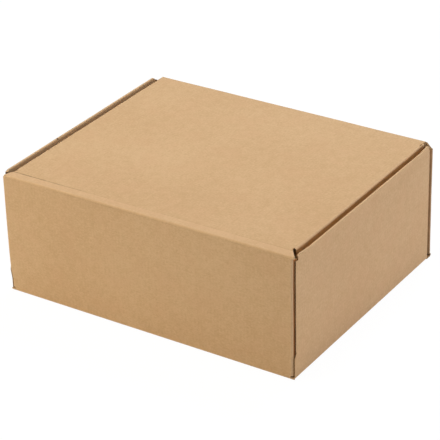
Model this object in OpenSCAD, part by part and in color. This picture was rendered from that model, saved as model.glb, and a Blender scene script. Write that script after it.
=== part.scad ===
/* [Box] */
// Length of the box over the side walls
box_w = 300; // [200:1:450]
// Depth of the box from the hinge wall to the tuck wall
box_d = 248; // [220:1:400]
// Height of the box to the top of the side ridges
box_h = 118; // [90:1:220]

/* [Board] */
// Thickness of the corrugated board
board_t = 1.5; // [1.2:0.1:1.8]
// Air between two layers of board that lie together
ply_gap = 0.15; // [0.1:0.05:0.3]
// Outer radius of an ordinary fold
fold_r = 2; // [1.9:0.1:3]
// Outer radius of the pinched crease along a ridge
ridge_r = 0.8; // [0.5:0.1:1.2]

/* [Side walls] */
// Slope of a ridge, down towards the inside, in degrees
ridge_slope = 50; // [48:1:56]
// Width of a ridge's flat slope, between its pinched crease and its lower bend
ridge_w = 0.1; // [0.05:0.05:0.5]
// Slant of an inner panel below its ridge, in degrees from the upright
inner_slant = 12; // [10:0.5:16]
// Length of the cut at a side wall's upper corner, hinge end
hinge_corner_cut = 6.5; // [4:0.5:10]
// Length of the cut at a side wall's upper corner, tuck end
tuck_corner_cut = 4; // [3:0.5:8]
// Drop of the cut at a side wall's upper corner, hinge end
hinge_corner_drop = 3; // [2:0.5:6]
// Drop of the cut at a side wall's upper corner, tuck end
tuck_corner_drop = 2.2; // [1.8:0.1:5]
// Slit between the hinge wall's face and a side wall's end
hinge_slit = 5; // [4:0.1:6]
// Height of the slit's lower end above the floor
slit_foot = 20; // [12:1:40]
// Length over which the slit tapers at its lower end
slit_taper = 7; // [4:0.5:12]
// Space between the tuck wall's face and a side wall's end
tuck_slit = 8; // [6:0.1:9]
// Distance of a ridge's end from the hinge wall's face
ridge_front = 8; // [7:0.5:12]
// Distance of a ridge's end from the tuck wall's face
ridge_back = 9.5; // [9.4:0.1:12]

/* [Locking tabs] */
// Length of a locking tab
lock_len = 38; // [20:1:60]
// Clearance between a locking tab and its slot
lock_gap = 0.4; // [0.2:0.1:0.8]
// Distance between the middles of a side wall's two tabs
lock_pitch = 120; // [70:1:150]

/* [Corner flaps] */
// Length of a corner flap along the side wall
corner_flap_len = 96; // [50:1:105]
// Height of a corner flap's lower edge above the ground
corner_flap_foot = 3.6; // [3.2:0.1:8]
// Height of the open notch below a tuck corner flap
foot_notch = 1.4; // [0.8:0.1:1.6]
// Height that the tuck wall loses at the cut of each upper corner
tuck_top_cut = 4.8; // [3:0.2:8]

/* [Lid] */
// Drop of the lid panel below the ridges
lid_drop = 0.5; // [0.4:0.1:1.5]
// Gap between a lid's side flap and the inner panel beside it
flap_gap = 1.1; // [0.6:0.1:1.5]
// Gap between the lid's edges and the tray's other edges
edge_gap = 0.4; // [0.3:0.1:0.8]
// Distance of the soft crease behind the hinge fold
crease_back = 9.2; // [8:0.1:12]
// Fall of the hinge strip from the soft crease to the fold
strip_fall = 0.3; // [0.2:0.1:0.8]
// Radius of the bend at the soft crease
crease_r = 6; // [4:0.5:10]
// Width of the soft crease line
crease_w = 0.8; // [0.6:0.1:1.4]
// Depth of the soft crease line
crease_cut = 0.25; // [0.1:0.05:0.5]
// Distance of the notch beside the hinge strip from the hinge wall's face
notch_y = 12; // [10.5:0.5:13]
// Distance of the side flaps behind the hinge wall's face
side_flap_start = 14; // [13.5:0.5:24]
// Distance of the side flaps' far ends from the tuck wall's face
side_flap_back = 7; // [6:0.5:12]
// Lean of the side flaps away from the inner panels, in degrees
side_flap_lean = 4; // [2:0.5:6]
// Drop of the tuck wall's upper edge below the lid panel
tuck_wall_drop = 2.2; // [1:0.1:3]
// Depth of a side flap below the lid panel
side_flap_h = 52; // [25:1:60]
// Taper of a side flap's ends over its depth
side_flap_taper = 14; // [6:1:20]
// Depth of the tuck flap below the lid panel
tuck_flap_h = 28; // [15:1:30]
// Lean of the tuck flap away from the tuck wall, in degrees
tuck_lean = 3.5; // [3:0.1:6]
// Radius of the free corners of every flap
flap_corner_r = 8; // [3:1:10]
// Gap at the hinge crease between the lid and the hinge wall
hinge_gap = 0.12; // [0.08:0.02:0.3]

/* [Hidden] */
kraft = "#c39c6c";
kraft_lid = "#d6b48a";
// Straight pieces that make up one rounded fold
fold_steps = 8;
// Reach of a trimming shape past the board
past = 5;
// Flat strip that each fold's profile brings with it into the panel beside it
flat_lap = 12;
// Overlap of two profiles that run on in one flat panel
lap = 2;

// Faces of a side wall's three layers, counted from its outer face
flap_face = board_t + ply_gap;
inner_far = flap_face + board_t + ply_gap;
inner_near = inner_far + board_t;

// Chief levels and edges
half_w = box_w / 2;
end_x = half_w - flap_face;
lid_top = box_h - lid_drop;
lid_x = half_w - inner_near - flap_gap;
lid_far = box_d - board_t - edge_gap;
strip_z = lid_top - strip_fall;
hinge_z = strip_z - fold_r;
tuck_x = lid_x - flap_gap;
strip_x = half_w - ply_gap;
hinge_wall_top = hinge_z - hinge_gap;
tuck_wall_top = lid_top - tuck_wall_drop;
tuck_fold_top = tuck_wall_top - tuck_top_cut;

// Pinched ridge: its sharp outer corner, and its lower bend above the inner panel
peak_turn = 90 + ridge_slope;
bend_turn = 90 - ridge_slope - inner_slant;
peak_z = box_h + ridge_r * (tan(peak_turn / 2) - 1);
rounding_w = ridge_r * (tan(peak_turn / 2) + tan(bend_turn / 2)) * cos(ridge_slope);
whole_ridge_w = ridge_w + rounding_w;
ridge_x = half_w - whole_ridge_w;
ridge_z = peak_z - whole_ridge_w * tan(ridge_slope);

// Slanting part of the inner panel: where it parts from the outer one and where it ends
part_z = ridge_z - (board_t + board_t / cos(inner_slant) - whole_ridge_w) / tan(inner_slant);
slant_z = ridge_z - (inner_near - whole_ridge_w) / tan(inner_slant);
corner_flap_top = slant_z - ply_gap;
inner_foot = board_t + ply_gap;

// Unit vector, left-hand normal and turn between two directions
function unit(v) = v / norm(v);
function left(v) = [-v[1], v[0]];
function turn(u, w) = atan2(cross(u, w), u * w);
function way_in(p, i) = unit(p[i] - p[i - 1]);
function way_out(p, i) = unit(p[i + 1] - p[i]);
function is_end(p, i) = i == 0 || i == len(p) - 1;

// Point i of a path once the path has moved by d to its left
function shifted(p, i, d) =
    i == 0 ? p[0] + d * left(way_out(p, 0)) :
    i == len(p) - 1 ? p[i] + d * left(way_in(p, i)) :
    let (a = left(way_in(p, i)), b = left(way_out(p, i)))
    p[i] + d * (a + b) / (1 + a * b);

// Points of the arc of radius r that rounds the corner from way u to way w at point c
function corner_arc(c, u, w, r) =
    let (phi = turn(u, w),
         start = c - u * r * tan(abs(phi) / 2),
         centre = start + sign(phi) * r * left(u),
         spoke = start - centre)
    r < 0.01 ? [c] :
    [for (k = [0 : fold_steps])
        let (a = phi * k / fold_steps)
        centre + cos(a) * spoke + sin(a) * left(spoke)];

// Path p with corner i rounded to radius r[i]
function rounded(p, r) =
    [for (i = [0 : len(p) - 1])
        each (is_end(p, i) ? [p[i]] : corner_arc(p[i], way_in(p, i), way_out(p, i), r[i]))];

// Outline of board whose outer face follows path p, with the board on the path's left
function bent_board(p, r) =
    let (far = [for (i = [0 : len(p) - 1]) shifted(p, i, board_t)],
         far_r = [for (x = r) max(x - board_t, 0)],
         back = rounded(far, far_r))
    concat(rounded(p, r), [for (i = [len(back) - 1 : -1 : 0]) back[i]]);

// Closed outline p with every corner i rounded to radius r[i]
function closed_rounded(p, r) =
    let (n = len(p))
    [for (i = [0 : n - 1])
        each corner_arc(p[i], unit(p[i] - p[(i + n - 1) % n]), unit(p[(i + 1) % n] - p[i]), r[i])];

// Outline and its mirror image across the middle of the box, as one closed outline
function both_sides(p) = concat(p, [for (i = [len(p) - 1 : -1 : 0]) [-p[i][0], p[i][1]]]);

// Profile in X and Z, run along Y
module along_y(points, y0, y1)
    translate([0, y1, 0]) rotate([90, 0, 0]) linear_extrude(y1 - y0) polygon(points);

// Profile in Y and Z, run along X
module along_x(points, x0, x1)
    translate([x0, 0, 0]) rotate([90, 0, 90]) linear_extrude(x1 - x0) polygon(points);

// Profile in X and Y, run along Z
module along_z(points, z0, z1)
    translate([0, 0, z0]) linear_extrude(z1 - z0) polygon(points);

module left_and_right() {
    children();
    mirror([1, 0, 0]) children();
}

// Same shape at the tuck end, with its distances counted from the tuck wall's face
module from_tuck_face() translate([0, box_d, 0]) mirror([0, 1, 0]) children();

// Side wall at +X: the floor fold with the outer panel
outer_outline = bent_board([
    [half_w - flat_lap, 0],
    [half_w, 0],
    [half_w, part_z + lap]
], [0, fold_r, 0]);

// Ridge where the two layers are pressed into one
ridge_outline = closed_rounded([
    [half_w, part_z],
    [half_w, peak_z],
    [ridge_x, ridge_z],
    [ridge_x - (ridge_z - part_z) * tan(inner_slant), part_z]
], [0, ridge_r, ridge_r, 0]);

// Inner panel, which slants away under the ridge and stands upright below
inner_outline = bent_board([
    [ridge_x - lap * tan(inner_slant), ridge_z - lap],
    [half_w - inner_near, slant_z],
    [half_w - inner_near, inner_foot]
], [0, 2 * fold_r, 0]);

// Side wall from the side, in Y and Z, with its slit edge and its cut upper corners
side_wall_view = [
    [flap_face, -past],
    [flap_face, slit_foot],
    [hinge_slit, slit_foot + slit_taper],
    [hinge_slit, box_h - hinge_corner_drop],
    [hinge_slit + hinge_corner_cut, box_h],
    [hinge_slit + hinge_corner_cut, box_h + past],
    [box_d - tuck_slit - tuck_corner_cut, box_h + past],
    [box_d - tuck_slit - tuck_corner_cut, box_h],
    [box_d - tuck_slit, box_h - tuck_corner_drop],
    [box_d - tuck_slit, -past]
];

module side_wall() intersection() {
    union() {
        along_y(outer_outline, flap_face, box_d - tuck_slit);
        along_y(ridge_outline, ridge_front, box_d - ridge_back);
        along_y(inner_outline, ridge_front, box_d - ridge_back);
    }
    along_x(side_wall_view, half_w - flat_lap - past, half_w + past);
}

// Places of a side wall's two locking tabs
module lock_places()
    for (side = [-1, 1])
        translate([half_w - inner_near, (box_d + side * lock_pitch) / 2, 0]) children();

module lock_tab()
    translate([0, -lock_len / 2, ply_gap]) cube([board_t, lock_len, inner_foot + lap]);

module lock_slot()
    translate([-lock_gap, -lock_len / 2 - lock_gap, -past])
        cube([board_t + 2 * lock_gap, lock_len + 2 * lock_gap, past + inner_foot - ply_gap / 2]);

// Long wall with its floor fold, seen from the end in Y and Z
function long_wall_path(top) = [[0, top], [0, 0], [flat_lap, 0]];
long_wall_radii = [0, fold_r, 0];

// Foot of a long wall from the front in X and Z, wide below the notch beside its corner fold
function wall_foot(fold_x) = [
    [half_w - ply_gap, -past],
    [half_w - ply_gap, corner_flap_foot - foot_notch],
    [fold_x - fold_r, corner_flap_foot - foot_notch]
];

// Hinge wall from the front in X and Z
hinge_wall_view = both_sides(concat(wall_foot(end_x), [
    [end_x - fold_r, box_h]
]));

// Tuck wall from the front in X and Z, cut at the upper corners
tuck_wall_view = both_sides(concat(wall_foot(half_w), [
    [half_w - fold_r, tuck_fold_top],
    [half_w - fold_r - tuck_top_cut, tuck_wall_top],
    [half_w - fold_r - tuck_top_cut, box_h]
]));

// Floor plan of a long wall: wide at the wall, then stepped in beside the side walls
function long_wall_plan(wide_y) = both_sides([
    [half_w, -past],
    [half_w, wide_y],
    [half_w - flat_lap + lap, wide_y],
    [half_w - flat_lap + lap, flat_lap]
]);

module long_wall(top, view, wide_y) intersection() {
    along_x(bent_board(long_wall_path(top), long_wall_radii), -half_w, half_w);
    along_y(view, -past, flat_lap + past);
    along_z(long_wall_plan(wide_y), -past, box_h);
}

// Hinge wall's corner fold and corner flap at +X, in plan
hinge_corner_path = [
    [end_x - fold_r - lap, 0],
    [end_x, 0],
    [end_x, corner_flap_len]
];

// Tuck wall's corner fold, flush with the side wall, and its flap, bent in to pass under it
tuck_corner_path = [
    [half_w - fold_r - lap, 0],
    [half_w, 0],
    [half_w, fold_r + board_t / 2],
    [end_x, tuck_slit],
    [end_x, corner_flap_len]
];

// Hinge wall's corner flap from the side in Y and Z, from the fold to its free end
hinge_corner_view = closed_rounded([
    [-past, corner_flap_foot],
    [corner_flap_len, corner_flap_foot],
    [corner_flap_len, corner_flap_top],
    [ridge_front - ply_gap, corner_flap_top],
    [board_t, hinge_wall_top],
    [-past, hinge_wall_top]
], [0, flap_corner_r, flap_corner_r, 0, 0, 0]);

// Tuck wall's corner flap, counted from the tuck wall's face, with a shoulder in the slit
shoulder_y = (tuck_slit + ridge_back) / 2;
tuck_corner_view = closed_rounded([
    [-past, corner_flap_foot],
    [corner_flap_len, corner_flap_foot],
    [corner_flap_len, corner_flap_top],
    [shoulder_y, corner_flap_top],
    [shoulder_y, box_h - tuck_corner_drop - ply_gap],
    [fold_r, tuck_fold_top],
    [-past, tuck_fold_top]
], [0, flap_corner_r, flap_corner_r, 0, 0, 0, 0]);

module corner_flap(path, radii, view) intersection() {
    along_z(bent_board(path, radii), 0, box_h);
    along_x(view, half_w - flat_lap, half_w + past);
}

module hinge_end() {
    long_wall(hinge_wall_top, hinge_wall_view, board_t);
    left_and_right() corner_flap(hinge_corner_path, [0, fold_r, 0], hinge_corner_view);
}

module tuck_end() {
    long_wall(tuck_wall_top, tuck_wall_view, tuck_slit);
    left_and_right() corner_flap(tuck_corner_path, [0, fold_r, fold_r, 0, 0], tuck_corner_view);
}

module floor_panel()
    translate([lap + flat_lap / 2 - half_w, flat_lap / 2, 0])
        cube([box_w - 2 * lap - flat_lap, box_d - flat_lap, board_t]);

module tray() color(kraft) translate([0, -box_d / 2, 0]) {
    difference() {
        union() {
            floor_panel();
            left_and_right() side_wall();
            hinge_end();
            from_tuck_face() tuck_end();
        }
        left_and_right() lock_places() lock_slot();
    }
    left_and_right() lock_places() lock_tab();
}

// Hinge fold, hinge strip and the start of the lid panel, from the end in Y and Z
hinge_path = [
    [side_flap_start + flat_lap, lid_top],
    [crease_back, lid_top],
    [0, strip_z],
    [0, hinge_z]
];
hinge_radii = [0, crease_r, fold_r, 0];

// Half of the hinge strip in plan, narrowing to the notch before the side flap
notch_x = lid_x - fold_r - edge_gap;
hinge_plan = both_sides([
    [strip_x, -past],
    [strip_x, board_t],
    [notch_x, notch_y],
    [notch_x, side_flap_start + flat_lap]
]);

module hinge_strip() intersection() {
    along_x(bent_board(hinge_path, hinge_radii), -half_w, half_w);
    along_z(hinge_plan, hinge_z - past, box_h + past);
}

// Lid panel in plan, from the hinge strip to the tuck fold, with a notch behind each side flap
side_flap_end = box_d - side_flap_back;
panel_plan = both_sides([
    [notch_x, side_flap_start + lap],
    [notch_x, side_flap_end + edge_gap],
    [tuck_x, side_flap_end + edge_gap],
    [tuck_x, lid_far - fold_r - edge_gap]
]);

module lid_panel() along_z(panel_plan, lid_top - board_t, lid_top);

// Tuck flap from the end in Y and Z, and from the front in X and Z
tuck_path = [
    [lid_far - tuck_flap_h * tan(tuck_lean), lid_top - tuck_flap_h],
    [lid_far, lid_top],
    [lid_far - flat_lap, lid_top]
];
tuck_view = closed_rounded([
    [-tuck_x, box_h],
    [-tuck_x, lid_top - fold_r],
    [-tuck_x + tuck_flap_h * tan(tuck_lean), lid_top - tuck_flap_h],
    [tuck_x - tuck_flap_h * tan(tuck_lean), lid_top - tuck_flap_h],
    [tuck_x, lid_top - fold_r],
    [tuck_x, box_h]
], [0, 0, flap_corner_r, flap_corner_r, 0, 0]);

module tuck_flap() intersection() {
    along_x(bent_board(tuck_path, [0, fold_r, 0]), -half_w, half_w);
    along_y(tuck_view, lid_far - flat_lap - past, box_d);
}

// Side flap of the lid at +X, from the front in X and Z and from the side in Y and Z
side_flap_path = [
    [lid_x - side_flap_h * tan(side_flap_lean), lid_top - side_flap_h],
    [lid_x, lid_top],
    [lid_x - flat_lap, lid_top]
];
side_flap_view = closed_rounded([
    [side_flap_start, box_h],
    [side_flap_start, lid_top - 2 * fold_r],
    [side_flap_start + side_flap_taper, lid_top - side_flap_h],
    [side_flap_end - side_flap_taper, lid_top - side_flap_h],
    [side_flap_end, lid_top - 2 * fold_r],
    [side_flap_end, box_h]
], [0, 0, flap_corner_r, flap_corner_r, 0, 0]);

module side_flap() intersection() {
    along_y(bent_board(side_flap_path, [0, fold_r, 0]), side_flap_start, side_flap_end);
    along_x(side_flap_view, lid_x - flat_lap - past, half_w);
}

// Soft crease across the lid, a shallow groove seen from the end in Y and Z
crease_groove = [
    [crease_back - crease_w / 2, lid_top],
    [crease_back, lid_top - crease_cut],
    [crease_back + crease_w / 2, lid_top],
    [crease_back, lid_top + past]
];

module lid() color(kraft_lid) translate([0, -box_d / 2, 0]) difference() {
    union() {
        hinge_strip();
        lid_panel();
        tuck_flap();
        left_and_right() side_flap();
    }
    along_x(crease_groove, -half_w, half_w);
}

tray();
lid();
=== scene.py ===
import math

import bmesh
import bpy
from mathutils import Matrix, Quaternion, Vector
from mathutils.bvhtree import BVHTree


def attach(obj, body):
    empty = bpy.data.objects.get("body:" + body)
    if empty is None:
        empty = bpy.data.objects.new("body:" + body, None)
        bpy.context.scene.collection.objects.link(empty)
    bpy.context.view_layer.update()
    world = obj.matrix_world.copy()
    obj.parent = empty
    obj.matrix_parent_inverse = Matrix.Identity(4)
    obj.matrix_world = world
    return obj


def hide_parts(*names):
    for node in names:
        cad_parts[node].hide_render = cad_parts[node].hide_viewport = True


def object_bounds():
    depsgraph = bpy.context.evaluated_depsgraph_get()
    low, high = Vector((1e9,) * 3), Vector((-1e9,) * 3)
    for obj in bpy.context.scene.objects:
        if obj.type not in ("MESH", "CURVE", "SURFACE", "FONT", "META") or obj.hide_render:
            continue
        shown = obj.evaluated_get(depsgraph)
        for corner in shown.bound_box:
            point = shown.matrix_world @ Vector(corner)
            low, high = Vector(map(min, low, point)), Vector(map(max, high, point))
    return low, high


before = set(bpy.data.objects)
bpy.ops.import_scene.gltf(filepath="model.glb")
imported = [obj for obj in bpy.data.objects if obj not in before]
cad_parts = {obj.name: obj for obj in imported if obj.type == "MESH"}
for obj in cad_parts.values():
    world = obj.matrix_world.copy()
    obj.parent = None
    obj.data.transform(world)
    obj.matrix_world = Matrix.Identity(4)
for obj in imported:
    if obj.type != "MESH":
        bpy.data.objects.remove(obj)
cad_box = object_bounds()

MM = 0.001
BOX = cad_box[1] - cad_box[0]
HALF_W, HALF_D, HEIGHT = BOX.x / 2, BOX.y / 2, BOX.z

# The board: its thickness, its flutes, and the most of it that lies behind a liner face
BOARD_T = 1.5 * MM
FLUTE_PITCH = 3.3 * MM
THICKEST_LAYERS = 3.4 * MM

# Lines and bands of the box that the finishes and the settling follow
CREASE_Y = -HALF_D + 9.2 * MM
HINGE_Z = 115.2 * MM
RIDGE_W, RIDGE_H = 3.4 * MM, 5 * MM
CORNER_FLAP_X = (146.8 * MM, 148.4 * MM)


# Node trees

class Flow:
    """One socket of a node tree that can be used in Python sums."""

    def __init__(self, net, socket):
        self.net = net
        self.socket = socket

    def sum_with(self, operation, *others):
        return self.net.make("ShaderNodeMath", {"operation": operation}, *others)

    def __add__(self, other):
        return self.sum_with("ADD", self, other)

    def __radd__(self, other):
        return self.sum_with("ADD", other, self)

    def __sub__(self, other):
        return self.sum_with("SUBTRACT", self, other)

    def __rsub__(self, other):
        return self.sum_with("SUBTRACT", other, self)

    def __mul__(self, other):
        return self.sum_with("MULTIPLY", self, other)

    def __rmul__(self, other):
        return self.sum_with("MULTIPLY", other, self)

    def __truediv__(self, other):
        return self.sum_with("DIVIDE", self, other)

    def __neg__(self):
        return self.sum_with("MULTIPLY", self, -1.0)

    def __abs__(self):
        return self.sum_with("ABSOLUTE", self)

    def sine(self):
        return self.sum_with("SINE", self)

    def power(self, other):
        return self.sum_with("POWER", self, other)

    def above(self, level):
        return self.sum_with("GREATER_THAN", self, level)

    def below(self, level):
        return self.sum_with("LESS_THAN", self, level)

    def least(self, other):
        return self.sum_with("MINIMUM", self, other)

    def most(self, other):
        return self.sum_with("MAXIMUM", self, other)

    def ramp(self, low, high, to_low=0.0, to_high=1.0):
        """Smooth change from to_low at low to to_high at high."""
        return self.net.make("ShaderNodeMapRange", {"interpolation_type": "SMOOTHSTEP"},
                             self, low, high, to_low, to_high)

    def slope(self, low, high, to_low, to_high):
        """Straight change from to_low at low to to_high at high."""
        return self.net.make("ShaderNodeMapRange", None, self, low, high, to_low, to_high)

    def scaled(self, share):
        """This vector times a plain number."""
        return self.net.make("ShaderNodeVectorMath", {"operation": "SCALE"}, self, Scale=share)

    def plus(self, other):
        """Sum of two vectors."""
        return self.net.make("ShaderNodeVectorMath", {"operation": "ADD"}, self, other)


class Net:
    """Makes the nodes of one shader or geometry tree."""

    def __init__(self, tree):
        self.tree = tree

    def make(self, kind, settings=None, *values, out=0, **named):
        node = self.tree.nodes.new(kind)
        for name, value in (settings or {}).items():
            setattr(node, name, value)
        inputs = [s for s in node.inputs if s.enabled]
        pairs = list(zip(inputs, values))
        by_name = {s.identifier: s for s in node.inputs}
        by_name.update({s.name.replace(" ", "_"): s for s in reversed(inputs)})
        pairs += [(by_name[name], value) for name, value in named.items()]
        for socket, value in pairs:
            if isinstance(value, Flow):
                self.tree.links.new(value.socket, socket)
            else:
                socket.default_value = value
        outputs = [s for s in node.outputs if s.enabled]
        if not outputs:
            return None
        if isinstance(out, int):
            return Flow(self, outputs[out])
        return Flow(self, next(s for s in outputs if s.name == out))

    def split(self, vector):
        node = self.make("ShaderNodeSeparateXYZ", None, vector).socket.node
        return [Flow(self, s) for s in node.outputs]

    def join(self, x, y, z=0.0):
        return self.make("ShaderNodeCombineXYZ", None, x, y, z)

    def blend(self, share, a, b):
        return self.make("ShaderNodeMix", {"data_type": "RGBA"},
                         Factor_Float=share, A_Color=a, B_Color=b)

    def noise(self, vector, per_metre, detail=2.0, roughness=0.5, seed=0.0):
        """Noise from 0 to 1 with about this many grains in a metre."""
        return self.make("ShaderNodeTexNoise", {"noise_dimensions": "4D"}, Vector=vector,
                         W=seed, Scale=per_metre, Detail=detail, Roughness=roughness)


# Finishes

def srgb(r, g, b):
    """A colour as it is seen in a picture, given as 0 to 255."""
    def linear(c):
        c /= 255
        return c / 12.92 if c <= 0.04045 else ((c + 0.055) / 1.055) ** 2.4
    return (linear(r), linear(g), linear(b), 1.0)


KRAFT = srgb(209, 173, 130)
KRAFT_DARK = srgb(193, 155, 112)
KRAFT_RED = srgb(212, 170, 130)
KRAFT_PALE = srgb(224, 192, 150)
BARK_FLECK = srgb(139, 104, 68)
PALE_FIBRE = srgb(232, 206, 168)
CUT_PAPER = srgb(186, 150, 106)
# painted shade for the hollows of cut flutes
FLUTE_HOLLOW_SHADE = srgb(118, 86, 52)
# painted highlight for the hinge strip
STRIP_HIGHLIGHT = srgb(226, 189, 150)
# painted shade for the second crease
CREASE_SHADE = srgb(104, 70, 36)
# painted shade for the tuck corners' fold strips
CORNER_SHADE = srgb(134, 100, 68)
# painted warm tint for the shade in the slits
SLIT_SHADE_TINT = srgb(230, 158, 84)
NICK_BROWN = srgb(92, 58, 28)

PAPER_RELIEF, CUT_RELIEF = 0.06 * MM, 0.35 * MM
PAPER_GLOSS = 0.22


def new_material(name):
    material = bpy.data.materials.new(name)
    material.use_nodes = True
    material.node_tree.nodes.clear()
    return material, Net(material.node_tree)


def close_material(net, colour, roughness, height, relief):
    """Paper surface: colour and roughness over the sheet, and height times relief as bump."""
    bump = net.make("ShaderNodeBump", None, Strength=1.0, Distance=relief, Height=height)
    paper = net.make("ShaderNodeBsdfPrincipled", {"distribution": "GGX"},
                     Base_Color=colour, Roughness=roughness, Normal=bump,
                     Specular_IOR_Level=PAPER_GLOSS)
    net.make("ShaderNodeOutputMaterial", None, Surface=paper)


class Paper:
    """Where a point of the paper is, on the flat sheet and on the box."""

    def __init__(self, net):
        sheet = net.make("ShaderNodeUVMap", {"uv_map": "board"})
        self.across, self.along, _ = net.split(sheet)
        self.place = net.make("ShaderNodeTexCoord", None, out="Object")
        self.x, self.y, self.z = net.split(self.place)


def lid_marks(net, paper, cloud, colour, height):
    """The hinge strip painted paler as a painted highlight where it tilts towards the light, and
    the second crease painted dark as painted shade that fades towards the right.
    """
    crease_half_w = 0.85 * MM
    strip = paper.along.ramp(CREASE_Y - 0.4 * MM, CREASE_Y + 0.4 * MM, 1.0, 0.0)
    strip = strip * paper.along.above(-HALF_D - 5 * MM)
    # painted highlight: the hinge strip tilts towards the light, so it is painted paler
    colour = net.blend(strip * 0.22, colour, STRIP_HIGHLIGHT)
    line = abs(paper.along - CREASE_Y).ramp(0.25 * MM, crease_half_w, 1.0, 0.0)
    broken = net.noise(net.join(paper.across, 0.0), 260, 2.0, 0.6, 11.0)
    broken = broken.ramp(0.25, 0.6, 0.35, 1.0)
    reach = paper.across.ramp(-140 * MM, -45 * MM, 1.0, 0.12)
    # painted shade along the second crease, strongest at the left and fading towards the right
    colour = net.blend(line * broken * reach * 0.62, colour, CREASE_SHADE)
    return colour, height - line * reach * 1.5


def tray_marks(net, paper, cloud, colour, height):
    """Painted shade on the fold strips at the tuck corners, a warm tint painted into the shade of
    the hinge corners' slits, and a nick in the left ridge.
    """
    nick_y, nick_z = -42 * MM, 117.6 * MM
    out = abs(paper.x)
    corner = paper.y.ramp(HALF_D - 4.6 * MM, HALF_D - 3.8 * MM) * out.above(HALF_W - 2.2 * MM)
    # painted shade on the tuck corners' fold strips, which turn away from the light beside the
    # slits
    colour = net.blend(corner * (0.5 + (cloud - 0.5) * 0.6), colour, CORNER_SHADE)
    slit = paper.y.ramp(-HALF_D + 1.2 * MM, -HALF_D + 2.4 * MM) * paper.y.below(-HALF_D + 7 * MM)
    slit = slit * out.below(HALF_W - 0.6 * MM) * out.above(HALF_W - 6 * MM)
    # warm tint painted into the hinge corners' slits, so that their shade renders brown as with
    # light bounced between the boards
    colour = net.blend(slit * 0.7, colour, SLIT_SHADE_TINT)
    nick = abs(paper.y - nick_y).ramp(0.6 * MM, 1.8 * MM, 1.0, 0.0)
    nick = nick * abs(paper.z - nick_z).below(1.2 * MM) * paper.x.below(0.0)
    return net.blend(nick * 0.7, colour, NICK_BROWN), height


def kraft_liner(name, marks):
    """Outer face of the board: formed paper with fibres, flecks, flute lines, and folds painted
    paler, partly as wear and partly as a painted highlight.
    """
    material, net = new_material(name)
    paper = Paper(net)
    across, along = paper.across, paper.along
    flat = net.join(across, along, paper.z * 0.25)

    cloud = net.noise(flat, 130, 3.0, 0.55, 1.0)
    blotch = net.noise(flat, 42, 2.0, 0.5, 4.0)
    patch = net.noise(paper.place, 9, 1.0, 0.5, 7.0)
    fibre = net.noise(net.join(across * 0.22, along), 2400, 2.0, 0.6, 2.0)
    strand = net.noise(net.join(across * 0.12, along), 900, 1.0, 0.5, 3.0)
    grain = net.noise(net.join(across * 0.7, along), 620, 1.0, 0.6, 10.0)
    fleck = net.noise(net.join(across * 0.55, along), 1500, 0.0, 0.5, 5.0).ramp(0.73, 0.78)
    pale = net.noise(net.join(across * 0.2, along), 1900, 0.0, 0.5, 6.0).ramp(0.72, 0.80)
    depth = net.noise(flat, 15, 1.0, 0.5, 8.0)
    flute = (across * (2 * math.pi / FLUTE_PITCH)).sine()

    tone = (0.5 + (cloud - 0.5) * 0.65 + (patch - 0.5) * 0.55 + (fibre - 0.5) * 0.9
            + (strand - 0.5) * 0.45 + (grain - 0.5) * 0.9 + flute * depth * 0.05)
    colour = net.blend(tone.ramp(0.15, 0.85), KRAFT_DARK, KRAFT_PALE)
    colour = net.blend(0.55, colour, KRAFT)
    colour = net.blend(blotch.ramp(0.42, 0.68) * 0.22, colour, KRAFT_RED)
    colour = net.blend(fleck * 0.30, colour, BARK_FLECK)
    colour = net.blend(pale * 0.30, colour, PALE_FIBRE)

    fold = net.make("ShaderNodeAttribute", {"attribute_name": "fold"}, out="Fac")
    scuff = net.noise(paper.place, 210, 3.0, 0.65, 9.0)
    wear_and_highlight = fold * scuff.ramp(0.30, 0.70, 0.35, 1.0)
    # painted paler along the folds: partly real wear, partly a painted highlight where the
    # rounded folds catch the light
    colour = net.blend(wear_and_highlight * 0.40, colour, KRAFT_PALE)
    height = fibre * 0.5 + cloud * 0.6 + flute * depth * 0.5 + fold * scuff * 0.8
    colour, height = marks(net, paper, cloud, colour, height)

    rough = 0.86 + (cloud - 0.5) * 0.10 + wear_and_highlight * 0.05
    close_material(net, colour, rough, height, PAPER_RELIEF)
    return material


def cut_edge(name, open_flutes):
    """Cut edge of the board: two liners with the wavy paper between them, and the open hollows
    painted dark as painted shade.
    """
    material, net = new_material(name)
    paper = Paper(net)
    run, ply = paper.across, paper.along
    rag = net.noise(paper.place, 900, 2.0, 0.6, 2.0)
    crush = net.noise(paper.place, 60, 1.0, 0.5, 3.0)
    liners = abs(ply - 0.5).ramp(0.34, 0.40)
    if open_flutes:
        wave = (run * (2 * math.pi / FLUTE_PITCH)).sine() * 0.30
        medium = abs(ply - 0.5 - wave).ramp(0.09, 0.16, 1.0, 0.0)
    else:
        medium = abs(ply - 0.5 - (crush - 0.5) * 0.9).ramp(0.10, 0.30, 0.8, 0.0)
    pressed = crush.ramp(0.45, 0.75) * 0.45
    solid = liners.most(medium).most(pressed)
    # the hollows get a dark colour: painted shade inside the open flutes
    colour = net.blend(solid, FLUTE_HOLLOW_SHADE, CUT_PAPER)
    colour = net.blend(rag.ramp(0.45, 0.75) * solid * 0.4, colour, PALE_FIBRE)
    close_material(net, colour, 0.92 + (rag - 0.5) * 0.08, solid + rag * 0.3, CUT_RELIEF)
    return material


TRAY_LINER = kraft_liner("kraft_liner_tray", tray_marks)
LID_LINER = kraft_liner("kraft_liner_lid", lid_marks)
FLUTE_ENDS = cut_edge("cut_edge_flute_ends", True)
FLUTE_SIDES = cut_edge("cut_edge_flute_sides", False)


# Board meshes

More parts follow.
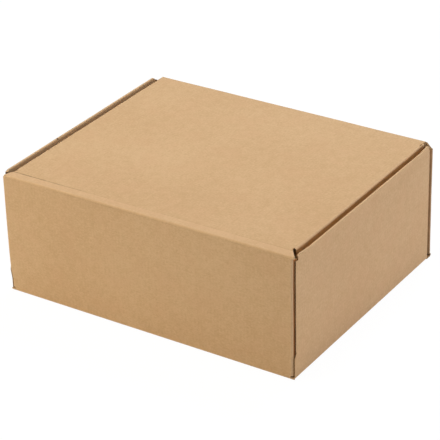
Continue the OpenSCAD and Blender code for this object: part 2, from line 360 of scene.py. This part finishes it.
GRID_STEP = (15 * MM, 12.5 * MM, 11.8 * MM)
SIDE_CUTS = (4.0 * MM, 7.6 * MM, 12.0 * MM)
LONG_WALL_CUTS = (2.6 * MM, 4.0 * MM, 5.6 * MM, 7.2 * MM, 14.0 * MM)
LEVEL_CUTS = (4.0 * MM, 112.0 * MM)
SAME_POINT, SAME_PLANE = 2e-6, 1e-6
RAY_START, RAY_REACH = 2e-5, 0.05
SHARP = math.radians(36)
LINER_KIND, FLUTE_ENDS_KIND, FLUTE_SIDES_KIND = 0, 1, 2


def cut_grid(bm):
    """Cuts the faces along a grid, and beside the folds, so that the board can bend."""
    def cut(axis, place):
        normal = Vector([1.0 if i == axis else 0.0 for i in range(3)])
        geometry = bm.verts[:] + bm.edges[:] + bm.faces[:]
        bmesh.ops.bisect_plane(bm, geom=geometry, plane_co=normal * place, plane_no=normal,
                               dist=SAME_PLANE)

    spans = ((-HALF_W, HALF_W), (-HALF_D, HALF_D), (0.0, HEIGHT))
    for axis, ((low, high), step) in enumerate(zip(spans, GRID_STEP)):
        count = round((high - low) / step)
        for i in range(1, count):
            cut(axis, low + (high - low) * i / count)
    for side in (-1, 1):
        for inset in SIDE_CUTS:
            cut(0, side * (HALF_W - inset))
        for inset in LONG_WALL_CUTS:
            cut(1, side * (HALF_D - inset))
    for level in LEVEL_CUTS:
        cut(2, level)


def panel_axes(normal, centre):
    """Across and along the flutes, as axis numbers, for the panel that a liner face is on."""
    size = [abs(c) for c in normal]
    if size[2] == max(size):
        return 0, 1
    if size[1] == max(size):
        return 0, 2
    on_corner_flap = CORNER_FLAP_X[0] < abs(centre.x) < CORNER_FLAP_X[1]
    return (1, 2) if on_corner_flap else (2, 1)


def is_cut(face, solid):
    """Whether a face is the board's cut edge: more board lies behind it than its layers."""
    centre = face.calc_center_median()
    on_ridge = centre.z > HEIGHT - RIDGE_H and abs(centre.x) > HALF_W - RIDGE_W
    if on_ridge and abs(face.normal.y) < 0.5:
        return False
    start = centre - face.normal * RAY_START
    depth = solid.ray_cast(start, -face.normal, RAY_REACH)[3]
    return depth is None or depth > THICKEST_LAYERS


def map_liner(face, board_map):
    """Lays a liner face on the sheet's map, in metres across and along the flutes."""
    across, along = panel_axes(face.normal, face.calc_center_median())
    for loop in face.loops:
        loop[board_map].uv = (loop.vert.co[across], loop.vert.co[along])


def map_cut(face, board_map, cut_faces):
    """Lays a cut face on the map, along its run and from 0 to 1 through the board."""
    n, centre = face.normal, face.calc_center_median()
    beside = [f for e in face.edges for f in e.link_faces
              if f is not face and not cut_faces[f.index] and abs(f.normal.dot(n)) < 0.8]
    if beside:
        liner = max(beside, key=lambda f: f.calc_area())
        through, on_liner = liner.normal, liner.verts[0].co
    else:
        through, on_liner = n.orthogonal(), centre
    run = n.cross(through).normalized()
    for loop in face.loops:
        deep = abs((loop.vert.co - on_liner).dot(through)) / BOARD_T
        loop[board_map].uv = (loop.vert.co.dot(run), min(deep, 1.0))
    along = panel_axes(through, centre)[1]
    return FLUTE_ENDS_KIND if abs(n[along]) > 0.7 else FLUTE_SIDES_KIND


def board_piece(name, node):
    """Copy of a CAD node's mesh with a grid of points, the sheet's own map and marked folds."""
    mesh = bpy.data.meshes.new(name)
    bm = bmesh.new()
    bm.from_mesh(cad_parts[node].data)
    bmesh.ops.remove_doubles(bm, verts=bm.verts[:], dist=SAME_POINT)
    solid = BVHTree.FromBMesh(bm)
    cut_grid(bm)
    bm.normal_update()
    bm.faces.ensure_lookup_table()

    cut_faces = [is_cut(f, solid) for f in bm.faces]
    board_map = bm.loops.layers.uv.new("board")
    kind = bm.faces.layers.int.new("edge_kind")
    fold = bm.verts.layers.float.new("fold")
    for face in bm.faces:
        face.smooth = True
        if cut_faces[face.index]:
            face[kind] = map_cut(face, board_map, cut_faces)
        else:
            map_liner(face, board_map)
    for vert in bm.verts:
        liners = [f for f in vert.link_faces if not cut_faces[f.index]]
        bent = [min(1.0, (1 - max(abs(c) for c in f.normal)) / 0.02) for f in liners]
        vert[fold] = sum(bent) / len(bent) if bent else 0.0
    for edge in bm.edges:
        if len(edge.link_faces) == 2:
            edge.smooth = edge.calc_face_angle(0.0) < SHARP
    bm.to_mesh(mesh)
    bm.free()
    piece = bpy.data.objects.new(name, mesh)
    bpy.context.scene.collection.objects.link(piece)
    return piece


# How the folded board has settled

SETTLING = {
    "Hinge left lean": (-0.4 * MM, 0.0, 0.0),
    "Hinge right lean": (0.4 * MM, 0.0, 0.0),
    "Tuck right lean": (0.2 * MM, 0.0, 0.0),
    "Tuck left lean": (0.1 * MM, 0.0, 0.0),
    "Tuck right foot": (1.0 * MM, 0.0, 0.0),
    "Hinge left foot": (2.2 * MM, 0.0, 0.0),
    "Side wall bow": 0.4 * MM,
    "Hinge wall bow": 0.4 * MM,
    "Lid sag": 0.4 * MM,
    "Hinge fold lift": 1.3 * MM,
    "Lift reach": 4.5 * MM,
    "Crushed ridge": (0.6 * MM, 0.0, -0.9 * MM),
    "Lid shift": 0.0,
    "Strip end cut": 0.0,
    "Slit depth": 0.0,
    "Tuck strip growth": 1.05 * MM,
    "Side wall reach": 1.7 * MM,
    "Flap top": 113.2 * MM,
    "Waviness": 0.25 * MM,
    "Seed": 3.0,
}
TRAY_SETTLING = {"Slit depth": 3.0 * MM}
LID_SETTLING = {"Lift reach": 70 * MM, "Lid shift": 0.55 * MM, "Strip end cut": 2.8 * MM}

# Layers of a side wall, inwards from its outer face, and the corners' slits
OUTER_LAYER, FLAP_LAYER = 1.55 * MM, 3.6 * MM
TUCK_STRIP_W, TUCK_SLIT_END = 2.75 * MM, 7.95 * MM
STRIP_END_W, STRIP_D = 8.3 * MM, 12.2 * MM
FLAP_EDGE_TOP, FLAP_EDGE_FALL = 118.36 * MM, 2.186


class Spot:
    """A point of the board: its place, its shares right, back and up, and its distances."""

    def __init__(self, net):
        self.place = net.make("GeometryNodeInputPosition")
        self.x, self.y, self.z = net.split(self.place)
        self.right = self.x / (2 * HALF_W) + 0.5
        self.back = self.y / (2 * HALF_D) + 0.5
        self.up = (self.z / HEIGHT).most(0.0)
        self.side = (self.right - 0.5) * 2
        self.hand = (self.side.above(0.0) - 0.5) * 2
        self.out = abs(self.x)
        self.from_hinge = self.y + HALF_D
        self.from_tuck = HALF_D - self.y


def arch(share):
    """0 at both ends and 1 in the middle."""
    return 4 * share * (1 - share)


def corner_leans(net, spot, size):
    """Each corner leans by its own amount, most of it low down, and two feet stand off."""
    rise = spot.up.power(0.6)
    left, front = 1 - spot.right, 1 - spot.back
    move = size["Hinge left lean"].scaled(left * front * rise)
    move = move.plus(size["Hinge right lean"].scaled(spot.right * front * rise))
    move = move.plus(size["Tuck right lean"].scaled(spot.right * spot.back * rise))
    move = move.plus(size["Tuck left lean"].scaled(left * spot.back * rise))
    move = move.plus(size["Tuck right foot"].scaled(spot.right * spot.back * (1 - rise)))
    low = spot.z.ramp(12 * MM, 27 * MM, 1.0, 0.0)
    return move.plus(size["Hinge left foot"].scaled(low * left * (1 - spot.back * 4).most(0.0)))


def panel_bows(net, spot, size):
    """The walls bow out, the lid sags, and its front fold rises towards the right."""
    out_x = spot.side * spot.side * spot.side
    out_x = out_x * arch(spot.back) * arch(spot.up.least(1.0)) * size["Side wall bow"]
    front = (1 - spot.back * 8).most(0.0)
    on_wall = (spot.z / HINGE_Z).least(1.0).most(0.0)
    out_y = -(front * arch(spot.right) * arch(on_wall) * size["Hinge wall bow"])
    on_lid = spot.up.ramp(0.9, 0.98)
    down = -(on_lid * arch(spot.right) * arch(spot.back) * size["Lid sag"])
    near = spot.from_hinge.ramp(2 * MM, size["Lift reach"], 1.0, 0.0)
    lift = near * spot.right * spot.up * size["Hinge fold lift"]
    return net.join(out_x, out_y, down + lift)


def crushed_ridge(net, spot, size):
    """The right ridge is pressed out and down, except near its ends."""
    crest = spot.x.ramp(HALF_W - RIDGE_W, HALF_W - 1.6 * MM)
    crest = crest * spot.z.ramp(HEIGHT - 6 * MM, HEIGHT - 2 * MM)
    between = spot.y.ramp(-HALF_D + 9 * MM, -HALF_D + 22 * MM)
    between = between * spot.y.ramp(HALF_D - 22 * MM, HALF_D - 12 * MM, 1.0, 0.0)
    return size["Crushed ridge"].scaled(crest * between)


def left_of_lid(net, spot, size):
    """The lid sits further in at its left, and its front strip is cut back there."""
    left = 1 - spot.right
    beyond = (spot.out - (HALF_W - STRIP_END_W)).most(0.0) / STRIP_END_W
    strip = beyond * spot.from_hinge.below(STRIP_D) * spot.z.above(HINGE_Z - 6 * MM)
    cut = spot.hand * strip * size["Strip end cut"] * left
    return net.join(size["Lid shift"] * left - cut, 0.0, 0.0)


def tuck_corners(net, spot, size):
    """The flush strip beyond each tuck corner is wider, and the slit beside it deeper."""
    deep, growth = size["Slit depth"], size["Tuck strip growth"]
    wider = (spot.from_tuck.slope(0.0, TUCK_STRIP_W, 0.0, growth)
             - spot.from_tuck.slope(TUCK_STRIP_W, 4 * MM, 0.0, growth))
    layers = spot.out.ramp(HALF_W - 5.5 * MM, HALF_W - 2.5 * MM) * deep.above(0.0)
    pocket = spot.from_tuck.slope(TUCK_STRIP_W + 0.05 * MM, 4 * MM, 0.0, 1.0)
    pocket = pocket * spot.from_tuck.slope(TUCK_SLIT_END - 0.65 * MM, TUCK_SLIT_END, 1.0, 0.0)
    pocket = pocket * spot.out.above(HALF_W - 4 * MM) * spot.z.above(3 * MM) * deep
    return net.join(-(spot.hand * pocket), -(wider * layers), 0.0)


def hinge_corner(net, spot, size):
    """The right hinge corner's slit is deeper, with the side wall forward beside it, and the
    corner flaps' tops reach up behind the slits."""
    deep = size["Slit depth"]
    has_slit = deep.above(0.0)
    outer = spot.out.above(HALF_W - OUTER_LAYER)
    flap = spot.out.above(HALF_W - FLAP_LAYER) * (1 - outer)
    tucked = spot.from_hinge.slope(2 * MM, 2.6 * MM, 0.0, 0.85)
    tucked = tucked * spot.from_hinge.slope(4 * MM, 5.6 * MM, 1.0, 0.0) * deep
    tucked = tucked * flap * spot.x.above(0.0) * spot.z.ramp(14 * MM, 26 * MM)
    forward = spot.from_hinge.slope(5 * MM, 14 * MM, size["Side wall reach"], 0.0)
    forward = forward * outer * spot.from_hinge.above(4.9 * MM) * has_slit
    flap_edge = FLAP_EDGE_TOP - spot.from_hinge * FLAP_EDGE_FALL
    raised = (size["Flap top"] - flap_edge) * spot.z.slope(94 * MM, flap_edge, 0.0, 1.0)
    raised = raised * flap * spot.from_hinge.above(1.6 * MM) * spot.from_hinge.below(7.4 * MM)
    return net.join(-tucked, -forward, raised * has_slit)


def waves(net, spot, size):
    """The board waves a little, but not at the foot or at the hinge."""
    wave = net.make("ShaderNodeTexNoise", {"noise_dimensions": "4D"}, Vector=spot.place,
                    W=size["Seed"], Scale=14.0, Detail=1.0, Roughness=0.5, out="Color")
    wave = wave.plus((-0.5, -0.5, -0.5))
    free = spot.back.ramp(0.0, 0.08).most(1 - spot.up.ramp(0.85, 0.95)) * spot.up.ramp(0.0, 0.15)
    return wave.scaled(size["Waviness"] * 2 * free)


def settling_tree(name, liner, sizes):
    """Moves every point of the board by the sum of its parts, then sets the finishes."""
    tree = bpy.data.node_groups.new(name, "GeometryNodeTree")
    face = tree.interface
    face.new_socket("Board", in_out="INPUT", socket_type="NodeSocketGeometry")
    for label, value in sizes.items():
        kind = "NodeSocketVector" if isinstance(value, tuple) else "NodeSocketFloat"
        socket = face.new_socket(label, in_out="INPUT", socket_type=kind)
        socket.default_value = value
    face.new_socket("Board", in_out="OUTPUT", socket_type="NodeSocketGeometry")

    net = Net(tree)
    given = tree.nodes.new("NodeGroupInput")
    size = {s.name: Flow(net, s) for s in given.outputs if s.name}
    spot = Spot(net)
    move = net.join(0.0, 0.0, 0.0)
    for part in (corner_leans, crushed_ridge, left_of_lid, tuck_corners, hinge_corner,
                 panel_bows, waves):
        move = move.plus(part(net, spot, size))

    board = net.make("GeometryNodeSetPosition", None, size["Board"], Offset=move)
    board = net.make("GeometryNodeRealizeInstances", None, board)
    kind = net.make("GeometryNodeInputNamedAttribute", {"data_type": "INT"}, "edge_kind")
    for number, finish in ((LINER_KIND, liner), (FLUTE_ENDS_KIND, FLUTE_ENDS),
                           (FLUTE_SIDES_KIND, FLUTE_SIDES)):
        chosen = net.make("FunctionNodeCompare", {"data_type": "INT", "operation": "EQUAL"},
                          A_INT=kind, B_INT=number)
        board = net.make("GeometryNodeSetMaterial", None, board, chosen, finish)
    leave = tree.nodes.new("NodeGroupOutput")
    tree.links.new(board.socket, leave.inputs[0])
    return tree


def settle(piece, liner, own_sizes):
    """Runs the settling tree on a piece and keeps the result as a plain mesh."""
    modifier = piece.modifiers.new("settle", "NODES")
    modifier.node_group = settling_tree("settled_" + piece.name, liner, {**SETTLING, **own_sizes})
    normals = piece.modifiers.new("flat_panels", "WEIGHTED_NORMAL")
    normals.keep_sharp = True
    bpy.context.view_layer.update()
    evaluated = piece.evaluated_get(bpy.context.evaluated_depsgraph_get())
    mesh = bpy.data.meshes.new_from_object(evaluated)
    piece.modifiers.clear()
    mesh.name = piece.name
    piece.data = mesh
    return piece


tray = settle(board_piece("tray_board", "tray"), TRAY_LINER, TRAY_SETTLING)
lid = settle(board_piece("lid_board", "lid"), LID_LINER, LID_SETTLING)
for piece, node, slot in ((tray, "tray", "board"), (lid, "lid", "lid_board")):
    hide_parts(node)
    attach(piece, node)


# Floor, light and camera

FLOOR_R, FLOOR_Z = 12.0, -0.2 * MM
LID_CENTRE, BOX_CENTRE = (0, 0, 0.1), (0, 0, 0.06)
PHOTO_LENS = 160.234
PHOTO_PLACE = (0.855270, -1.308341, 0.898760)
PHOTO_TURN = Quaternion((0.8259819, 0.4890074, 0.1523284, 0.2354181))


def seen_directly(net):
    """1 for rays that reach the eye straight, in a mirror or through glass."""
    node = net.make("ShaderNodeLightPath").socket.node
    rays = {s.name: Flow(net, s) for s in node.outputs}
    return rays["Is Camera Ray"].most(rays["Is Glossy Ray"]).most(rays["Is Transmission Ray"])


def make_floor():
    """White ground that keeps a little of the box's shadow."""
    material, net = new_material("studio_floor")
    ground = net.make("ShaderNodeBsdfDiffuse", None, Color=(0.8, 0.8, 0.8, 1.0))
    white = net.make("ShaderNodeEmission", None, Color=(1.0, 1.0, 1.0, 1.0), Strength=1.04)
    mixed = net.make("ShaderNodeMixShader", None, seen_directly(net) * 0.93, ground, white)
    net.make("ShaderNodeOutputMaterial", None, Surface=mixed)
    mesh = bpy.data.meshes.new("studio_floor")
    bm = bmesh.new()
    bmesh.ops.create_circle(bm, cap_ends=True, segments=96, radius=FLOOR_R)
    bm.to_mesh(mesh)
    bm.free()
    mesh.materials.append(material)
    floor = bpy.data.objects.new("studio_floor", mesh)
    floor.location.z = FLOOR_Z
    bpy.context.scene.collection.objects.link(floor)


def make_world():
    """Faint light from all round, seen as plain white."""
    world = bpy.data.worlds.new("studio")
    bpy.context.scene.world = world
    world.use_nodes = True
    world.node_tree.nodes.clear()
    net = Net(world.node_tree)
    light = net.make("ShaderNodeBackground", None, (1.0, 0.985, 0.96, 1.0), 0.02)
    white = net.make("ShaderNodeBackground", None, (1.0, 1.0, 1.0, 1.0), 1.0)
    mixed = net.make("ShaderNodeMixShader", None, seen_directly(net), light, white)
    net.make("ShaderNodeOutputWorld", None, Surface=mixed)


def make_lamp(name, place, aim, size, watts, colour):
    lamp = bpy.data.lights.new(name, "AREA")
    lamp.shape = "SQUARE"
    lamp.size = size
    lamp.energy = watts
    lamp.color = colour
    holder = bpy.data.objects.new(name, lamp)
    holder.location = place
    holder.rotation_mode = "QUATERNION"
    holder.rotation_quaternion = (Vector(aim) - Vector(place)).to_track_quat("-Z", "Y")
    bpy.context.scene.collection.objects.link(holder)


def make_camera():
    camera = bpy.data.objects.new("camera", bpy.data.cameras.new("camera"))
    camera.data.sensor_width = 36.0
    camera.data.lens = PHOTO_LENS
    camera.location = PHOTO_PLACE
    camera.rotation_mode = "QUATERNION"
    camera.rotation_quaternion = PHOTO_TURN
    camera.data.clip_start, camera.data.clip_end = 0.05, 60.0
    bpy.context.scene.collection.objects.link(camera)
    bpy.context.scene.camera = camera


make_floor()
make_world()
make_lamp("ceiling_softbox", (-0.2, -0.2, 1.9), LID_CENTRE, 0.8, 15.8, (1.0, 0.84, 0.63))
make_lamp("rear_ceiling_softbox", (-0.1, 1.2, 1.7), LID_CENTRE, 1.0, 26.6, (0.70, 0.83, 1.0))
make_lamp("side_softbox", (2.4, -0.5, 0.35), BOX_CENTRE, 0.9, 19.2, (0.93, 0.94, 1.0))
make_lamp("rear_side_softbox", (1.3, 0.9, 0.45), BOX_CENTRE, 0.7, 4.8, (1.0, 0.90, 0.91))
make_lamp("front_left_softbox", (-1.1, -1.1, 0.40), BOX_CENTRE, 0.7, 13.6, (1.0, 0.93, 0.80))
make_camera()
bpy.context.scene.view_settings.view_transform = "Standard"
